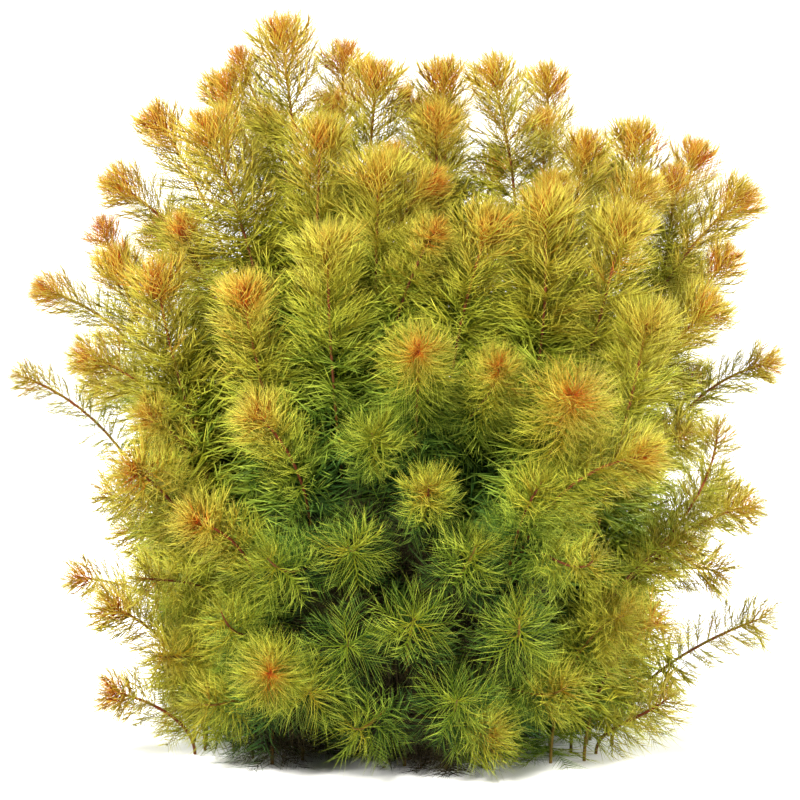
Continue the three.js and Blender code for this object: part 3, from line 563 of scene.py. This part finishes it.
def depth_in(half, corners):
    """0 on and outside an ellipsoid round the middle of the clump's foot, 1 at its centre."""
    lifted = corners - CLUMP_MIDDLE
    return 1 - np.clip(np.linalg.norm(lifted / half, axis=-1), 0, 1)


def ages_and_shade(stem, from_tip, corners):
    """0 in the bud, about 0.4 for leaves in full light, 1 for the oldest in the shade; painted shade deep
    in the clump, under the shoot's leaves and near the ground is added.
    """
    # Painted shade: the age rises deep in the clump, under the shoot's own leaves and near the ground,
    # less so where light reaches the low sides.
    shade = smoothstep(depth_in(SHADOW_HALF, corners), 0.05, 0.6)
    covered_shade = COVERED_SHADE + LOW_COVERED_SHADE * (stem.low - stem.airy)
    overshadowed = smoothstep(from_tip, 10, 45)[:, None] * covered_shade * (0.3 + 0.7 * shade)
    from_bud = np.linalg.norm(corners - stem.bud, axis=-1)
    in_bud = np.exp(-(from_bud / BUD_GLOW) ** 2)
    age = LIGHT_AGE * (1 - in_bud) + PALE_BUD_AGE * (1 - stem.blush) * in_bud
    age += DISTANCE_AGE * smoothstep(from_bud, 12, 85) + GREEN_AGE * stem.green + overshadowed
    near_ground = GROUND_SHADE * (1 - smoothstep(corners[..., 2], 50, 250))
    darkened = near_ground + SHADE_AGE * shade
    age += (1 - stem.blush * in_bud) * (1 - FREE_LIGHT * stem.airy) * darkened
    age += (DICE.normal(0, LEAF_SCATTER, (len(corners), 1))
            + DICE.normal(0, CORNER_SCATTER, corners.shape[:-1]))
    oldest = OLDEST - BACK_DARKEST_CUT * smoothstep(corners[..., 1], 20, 90)
    return np.minimum(age, oldest)


def paleness(leaf, from_tip, corners):
    """1 at the thread ends of young leaves, 0 at the stem: paler young tissue and a painted highlight on
    the ends.
    """
    share = np.clip(np.abs(leaf.corners[:, 0]) / PALE_REACH, 0, 1)[None, :]
    young = (1 - 0.5 * smoothstep(from_tip, 30, 130))[:, None]
    return share * young * DICE.uniform(*PALE_RANGE, (len(corners), len(leaf.corners)))


print(f"a leaf in full light has the age {LIGHT_AGE}, and the greenest shoots {GREEN_AGE} more")

# %% [markdown]
# ## Materials
#
# Milfoil leaves are soft, thin and nearly dull, and light comes through them. The leaf
# material reads the age of a corner, painted shade included, into two colour ramps, one for
# the leaf and one for its pale thread ends with their painted highlight, adds blotches from
# noise, and mixes in a translucent part so that leaves with light behind them glow. A picture
# of a leaf would give the same colour to each one.
# The stem goes from orange-brown at the bud through red-brown to dull olive at its foot.

# %% Colours of leaves
def hue(red, green, blue):
    """An sRGB colour of 0 to 255 as the linear numbers that shaders take."""
    channels = [value / 255 for value in (red, green, blue)]
    return (*[c / 12.92 if c <= 0.04045 else ((c + 0.055) / 1.055) ** 2.4 for c in channels], 1.0)


# The last stops, past about 0.7, are reached mostly through painted shade in the age, so they paint shade
# as much as old leaves.
LEAF_AGES = [
    (0.00, hue(136, 44, 6)),       # bud scales
    (0.08, hue(186, 82, 10)),      # orange brush
    (0.17, hue(170, 120, 18)),     # young gold
    (0.30, hue(142, 122, 14)),     # gold
    (0.45, hue(124, 120, 12)),     # olive gold
    (0.60, hue(102, 118, 14)),     # yellow-green
    (0.74, hue(64, 94, 16)),       # green
    (0.88, hue(34, 62, 20)),       # deep green
    (1.00, hue(44, 38, 18)),       # withering, and painted deep shade
]
# Pale thread ends: paler young tissue, with a painted highlight.
END_AGES = [
    (0.00, hue(190, 82, 16)),
    (0.08, hue(224, 136, 32)),
    (0.17, hue(242, 210, 80)),
    (0.30, hue(236, 224, 92)),
    (0.45, hue(230, 228, 76)),
    (0.60, hue(216, 228, 84)),
    (0.74, hue(180, 206, 74)),
    (0.88, hue(92, 146, 60)),
    (1.00, hue(62, 52, 26)),
]
print("colours between bud and shade:", len(LEAF_AGES))

# %% Leaf and stem materials
BLOTCH_SCALE = 90
BLOTCH_AGE = 0.08          # how much older or younger a blotch looks
TRANSLUCENCE = 0.2


def new_material(name):
    material = bpy.data.materials.new(name)
    material.use_nodes = True
    nodes = material.node_tree.nodes
    return material, nodes, material.node_tree.links, nodes["Principled BSDF"]


def ramp_node(nodes, stops):
    ramp = nodes.new("ShaderNodeValToRGB")
    while len(ramp.color_ramp.elements) < len(stops):
        ramp.color_ramp.elements.new(0.5)
    for element, (place, colour) in zip(ramp.color_ramp.elements, stops):
        element.position = place
        element.color = colour
    return ramp


def attribute_node(nodes, name):
    attribute = nodes.new("ShaderNodeAttribute")
    attribute.attribute_name = name
    return attribute


def leaf_material():
    material, nodes, links, surface = new_material("milfoil leaf")
    age = attribute_node(nodes, "age")
    pale = attribute_node(nodes, "pale")
    place = nodes.new("ShaderNodeTexCoord")
    blotch = nodes.new("ShaderNodeTexNoise")
    blotch.inputs["Scale"].default_value = BLOTCH_SCALE
    blotch.inputs["Detail"].default_value = 3
    links.new(place.outputs["Object"], blotch.inputs["Vector"])
    scatter = nodes.new("ShaderNodeMapRange")
    scatter.inputs["To Min"].default_value = -BLOTCH_AGE
    scatter.inputs["To Max"].default_value = BLOTCH_AGE
    links.new(blotch.outputs["Fac"], scatter.inputs["Value"])
    total = nodes.new("ShaderNodeMath")
    total.operation = "ADD"
    links.new(age.outputs["Fac"], total.inputs[0])
    links.new(scatter.outputs["Result"], total.inputs[1])
    colour = nodes.new("ShaderNodeMixRGB")
    links.new(pale.outputs["Fac"], colour.inputs["Fac"])
    for stops, socket in ((LEAF_AGES, "Color1"), (END_AGES, "Color2")):
        ramp = ramp_node(nodes, stops)
        links.new(total.outputs["Value"], ramp.inputs["Fac"])
        links.new(ramp.outputs["Color"], colour.inputs[socket])
    links.new(colour.outputs["Color"], surface.inputs["Base Color"])
    surface.inputs["Roughness"].default_value = 0.6
    surface.inputs["Specular IOR Level"].default_value = 0.15
    glow = nodes.new("ShaderNodeBsdfTranslucent")
    links.new(colour.outputs["Color"], glow.inputs["Color"])
    both = nodes.new("ShaderNodeMixShader")
    both.inputs["Fac"].default_value = TRANSLUCENCE
    links.new(surface.outputs["BSDF"], both.inputs[1])
    links.new(glow.outputs["BSDF"], both.inputs[2])
    links.new(both.outputs["Shader"], nodes["Material Output"].inputs["Surface"])
    return material


def stem_material():
    material, nodes, links, surface = new_material("milfoil stem")
    age = attribute_node(nodes, "age")
    colour = ramp_node(nodes, [
        (0.0, hue(122, 54, 20)),
        (0.3, hue(86, 46, 20)),
        (0.5, hue(112, 84, 22)),
        (1.0, hue(84, 72, 26)),
    ])
    links.new(age.outputs["Fac"], colour.inputs["Fac"])
    links.new(colour.outputs["Color"], surface.inputs["Base Color"])
    surface.inputs["Roughness"].default_value = 0.7
    surface.inputs["Specular IOR Level"].default_value = 0.2
    return material


LEAF = leaf_material()
STEM = stem_material()
print("materials:", LEAF.name, "and", STEM.name)

# %% [markdown]
# ## Stems
#
# A stem is a thin round rod, a little thicker at its foot, that narrows into its bud. A
# curve with a round bevel is the shortest way to one: each point of the curve has a radius
# of its own, and the ends are filled. It is turned into a mesh at once, because pieces are
# handed on as meshes. The stems of a shoot and its side shoots are one piece.

# %% Make the stems
STEM_RADIUS = 0.75                   # mm, at the foot
SIDE_RADIUS = 0.75 * STEM_RADIUS     # where a side shoot leaves its parent
TIP_RADIUS = 0.6
TAPER = 1.5                          # how late along the stem it gets thinner
BUD_SHARE = 0.4                      # of its radius, left at the very tip
BUD_LENGTH = 9                       # mm over which a stem narrows into its bud
STEM_POINTS = 26
OLD_STEM = 200                       # mm from the tip, where a stem has its oldest colour
OPENED_STEM_AGE = 0.4                # how much older the stem of an opened shoot looks


def stem_curve(name, stems):
    curve = bpy.data.curves.new(name, "CURVE")
    curve.dimensions = "3D"
    curve.bevel_depth = MM
    curve.bevel_resolution = 1
    curve.use_fill_caps = True
    for stem in stems:
        distances = np.linspace(0, stem.length, STEM_POINTS)
        points = stem.at(distances, stem.points) + np.array(CENTRING)
        thickness = STEM_RADIUS if stem is stems[0] else SIDE_RADIUS
        spline = curve.splines.new("POLY")
        spline.points.add(STEM_POINTS - 1)
        for point, place, share in zip(spline.points, points, distances / stem.length):
            point.co = (*(place * MM), 1)
            to_tip = (1 - share) * stem.length
            narrowed = BUD_SHARE + (1 - BUD_SHARE) * smoothstep(to_tip, 0, BUD_LENGTH)
            point.radius = (thickness + (TIP_RADIUS - thickness) * share ** TAPER) * narrowed
    return curve


def stem_piece(name, stems):
    shaper = bpy.data.objects.new(name, stem_curve(name, stems))
    bpy.context.collection.objects.link(shaper)
    bpy.context.view_layer.update()
    mesh = bpy.data.meshes.new_from_object(shaper.evaluated_get(bpy.context.evaluated_depsgraph_get()))
    bpy.data.objects.remove(shaper)
    mesh.name = name
    tip = np.array(stems[0].points[-1]) + np.array(CENTRING)
    places = np.empty(len(mesh.vertices) * 3)
    mesh.vertices.foreach_get("co", places)
    from_tip = np.linalg.norm(places.reshape(-1, 3) / MM - tip, axis=1)
    age = from_tip / OLD_STEM + OPENED_STEM_AGE * stems[0].open
    mesh.attributes.new("age", "FLOAT", "POINT").data.foreach_set("value", np.clip(age, 0, 1))
    mesh.materials.clear()
    mesh.materials.append(STEM)
    piece = bpy.data.objects.new(name, mesh)
    bpy.context.collection.objects.link(piece)
    return piece


print(f"stems are {2 * STEM_RADIUS} mm thick at the foot")

# %% [markdown]
# ## The leaves of a shoot as one mesh
#
# Thousands of leaves as objects of their own would be slow and hard to hand on. Here each
# place gets one of the four model leaves, by its distance from the bud and its depth in the
# clump, and all the leaves of a shoot go into one mesh with its two numbers for colour.

# %% Make the leaves
YOUNG_UNTIL = 12.0         # mm from the tip
PLUME_UNTIL = 70.0         # mm from the tip
SHADE_FROM = 45.0          # mm from the tip
SHADE_DEPTH = 0.22         # and as deep in the clump as this
SHADE_ABOVE = 25.0         # mm, nearer the ground the coarse leaf would show
LEAF_MIDDLE = 18.0         # mm out from the stem
GROUND = 0.35              # mm, the lowest that a thread lies


def chosen_leaves(stem, places):
    """Each model leaf, with the places where it grows."""
    from_tip, foot = places["from_tip"], places["foot"]
    depth = depth_in(CLUMP_HALF, foot + LEAF_MIDDLE * places["outward"])
    shaded = (from_tip > SHADE_FROM) & (depth > SHADE_DEPTH) & (foot[:, 2] > SHADE_ABOVE)
    young = from_tip < YOUNG_UNTIL
    grown = ~young & ~shaded
    in_plume = grown & (from_tip < PLUME_UNTIL) & (stem.low < 0.5)
    return ((YOUNG_LEAF, young), (PLUME_LEAF, in_plume), (OPEN_LEAF, grown & ~in_plume),
            (SHADE_LEAF, shaded))


def triangle_mesh(name, corners, faces):
    mesh = bpy.data.meshes.new(name)
    mesh.vertices.add(len(corners))
    mesh.vertices.foreach_set("co", corners.ravel())
    mesh.loops.add(faces.size)
    mesh.loops.foreach_set("vertex_index", faces.ravel())
    mesh.polygons.add(len(faces))
    mesh.polygons.foreach_set("loop_start", np.arange(len(faces)) * 3)
    mesh.update(calc_edges=True)
    return mesh


def leaves_piece(name, stems):
    corners, faces, age, pale = [], [], [], []
    first = 0
    for stem in stems:
        places = leaf_places(stem)
        for leaf, chosen in chosen_leaves(stem, places):
            if not chosen.any():
                continue
            placed = grown_leaves(leaf, places, chosen)
            placed[..., 2] = np.maximum(placed[..., 2], GROUND)
            from_tip = places["from_tip"][chosen]
            starts = first + np.arange(len(placed)) * len(leaf.corners)
            faces.append((leaf.faces[None] + starts[:, None, None]).reshape(-1, 3))
            age.append(ages_and_shade(stem, from_tip, placed).ravel())
            pale.append(paleness(leaf, from_tip, placed).ravel())
            corners.append(placed.reshape(-1, 3))
            first += len(placed) * len(leaf.corners)
    corners = (np.concatenate(corners) + np.array(CENTRING)) * MM
    mesh = triangle_mesh(name, corners, np.concatenate(faces))
    mesh.attributes.new("age", "FLOAT", "POINT").data.foreach_set("value", np.concatenate(age))
    mesh.attributes.new("pale", "FLOAT", "POINT").data.foreach_set("value", np.concatenate(pale))
    mesh.shade_smooth()
    mesh.materials.append(LEAF)
    piece = bpy.data.objects.new(name, mesh)
    bpy.context.collection.objects.link(piece)
    return piece


print("ways to choose a leaf:", len(LEAVES))

# %% [markdown]
# ## Dress the frame
#
# Every shoot of the clump gets its stems and its leaves. They could be added on top of the
# solids, but a solid's flat points would show between the threads, so the leaves take the
# solid's place. Both pieces ride on the same body.

# %% Replace the solids
triangles = 0
for name, stems in stems_of.items():
    stem_object = stem_piece(f"{name}_stem", stems)
    leaf_object = leaves_piece(f"{name}_leaves", stems)
    for piece in (stem_object, leaf_object):
        piece.data.calc_loop_triangles()
        triangles += len(piece.data.loop_triangles)
        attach(piece, "root")
    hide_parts(name)
print("triangles in all:", triangles)

# %% [markdown]
# ## Floor
#
# The plant stands on a pale floor that rises behind it in one sweep, like paper hung in a
# studio, so that there is no line at the back. A plane and a wall would leave a corner, so
# one edge is extruded back, round a bend and up.

# %% Floor and backdrop
FLOOR_HALF = 4.0           # metres to either side
FLOOR_FRONT = -2.5
FLOOR_DEPTH = 5.0
BEND_RADIUS = 1.2
BEND_STEPS = 12
WALL_HEIGHT = 3.0


def sweep_steps():
    """How far the edge moves each time it is extruded."""
    steps = [(0, FLOOR_DEPTH, 0)]
    for k in range(BEND_STEPS):
        low, high = (math.pi / 2 * share / BEND_STEPS for share in (k, k + 1))
        back = BEND_RADIUS * (math.sin(high) - math.sin(low))
        up = BEND_RADIUS * (math.cos(low) - math.cos(high))
        steps.append((0, back, up))
    steps.append((0, 0, WALL_HEIGHT))
    return steps


def sweep():
    """A floor that turns up into a wall, made from one edge by extruding it."""
    mesh = bmesh.new()
    first = [mesh.verts.new((x, FLOOR_FRONT, 0)) for x in (-FLOOR_HALF, FLOOR_HALF)]
    edge = [mesh.edges.new(first)]
    for step in sweep_steps():
        grown = bmesh.ops.extrude_edge_only(mesh, edges=edge)["geom"]
        edge = [part for part in grown if isinstance(part, bmesh.types.BMEdge)]
        ends = [part for part in grown if isinstance(part, bmesh.types.BMVert)]
        bmesh.ops.translate(mesh, vec=step, verts=ends)
    bmesh.ops.recalc_face_normals(mesh, faces=mesh.faces[:])
    data = bpy.data.meshes.new("floor")
    mesh.to_mesh(data)
    mesh.free()
    data.shade_smooth()
    floor = bpy.data.objects.new("floor", data)
    bpy.context.collection.objects.link(floor)
    material, _, _, surface = new_material("pale floor")
    surface.inputs["Base Color"].default_value = hue(250, 250, 250)
    surface.inputs["Roughness"].default_value = 0.9
    surface.inputs["Specular IOR Level"].default_value = 0.1
    data.materials.append(material)
    print("floor:", len(data.polygons), "faces")


sweep()

# %% [markdown]
# ## Light
#
# Feathery leaves need bright threads over dark gaps. A small round lamp above the viewer's
# left gives the threads their bright ends, and a larger low one on the right fills what it
# leaves dark. Two behind shine through the leaves at the edges, and one lights the backdrop
# so that it stays white. One large lamp would be simpler, but it would flatten the stars.

# %% Lamps
WORLD_STRENGTH = 0.26


def lamp(name, place, aim_at, size, power, colour=(1, 1, 1)):
    data = bpy.data.lights.new(name, "AREA")
    data.shape = "DISK"
    data.size = size
    data.energy = power
    data.color = colour
    light = bpy.data.objects.new(name, data)
    bpy.context.collection.objects.link(light)
    light.location = place
    light.rotation_euler = (Vector(aim_at) - Vector(place)).to_track_quat("-Z", "Y").to_euler()


lamp("key", (-0.7, -1.9, 1.5), (0, 0, 0.15), 0.4, 130, (1.0, 0.98, 0.93))
lamp("fill", (1.9, -0.9, 0.4), (0.1, 0, 0.08), 0.9, 36)
lamp("left behind", (-1.5, 0.9, 0.6), (0, 0, 0.12), 0.8, 50)
lamp("right behind", (1.5, 0.9, 0.6), (0, 0, 0.12), 0.8, 50)
lamp("backdrop", (0, 1.2, 2.6), (0, 3.4, 0.6), 1.6, 110)
world = bpy.data.worlds.new("studio")
world.use_nodes = True
world.node_tree.nodes["Background"].inputs["Color"].default_value = (1, 1, 1, 1)
world.node_tree.nodes["Background"].inputs["Strength"].default_value = WORLD_STRENGTH
bpy.context.scene.world = world
bpy.context.scene.view_settings.view_transform = "Standard"
print("lamps:", len(bpy.data.lights))

# %% [markdown]
# ## Camera
#
# From close by, the front stars would look much larger than the crown behind them. So the
# camera stands far away with a long lens, and looks down a little.

# %% Camera
CAMERA_HEIGHT = math.radians(5)      # above the horizon
CAMERA_DISTANCE = 1.9
FRAME_WIDTH = 0.36                   # metres across the picture at the clump
SENSOR_WIDTH = 36                    # mm
AIM = Vector((0.0014, 0.0009, 0.1545))

camera_data = bpy.data.cameras.new("camera")
camera_data.sensor_width = SENSOR_WIDTH
camera_data.lens = SENSOR_WIDTH * CAMERA_DISTANCE / FRAME_WIDTH
camera = bpy.data.objects.new("camera", camera_data)
bpy.context.collection.objects.link(camera)
camera.location = AIM + CAMERA_DISTANCE * Vector((0, -math.cos(CAMERA_HEIGHT), math.sin(CAMERA_HEIGHT)))
camera.rotation_euler = (AIM - camera.location).to_track_quat("-Z", "Y").to_euler()
bpy.context.scene.camera = camera
print(f"lens: {camera_data.lens:.0f} mm")
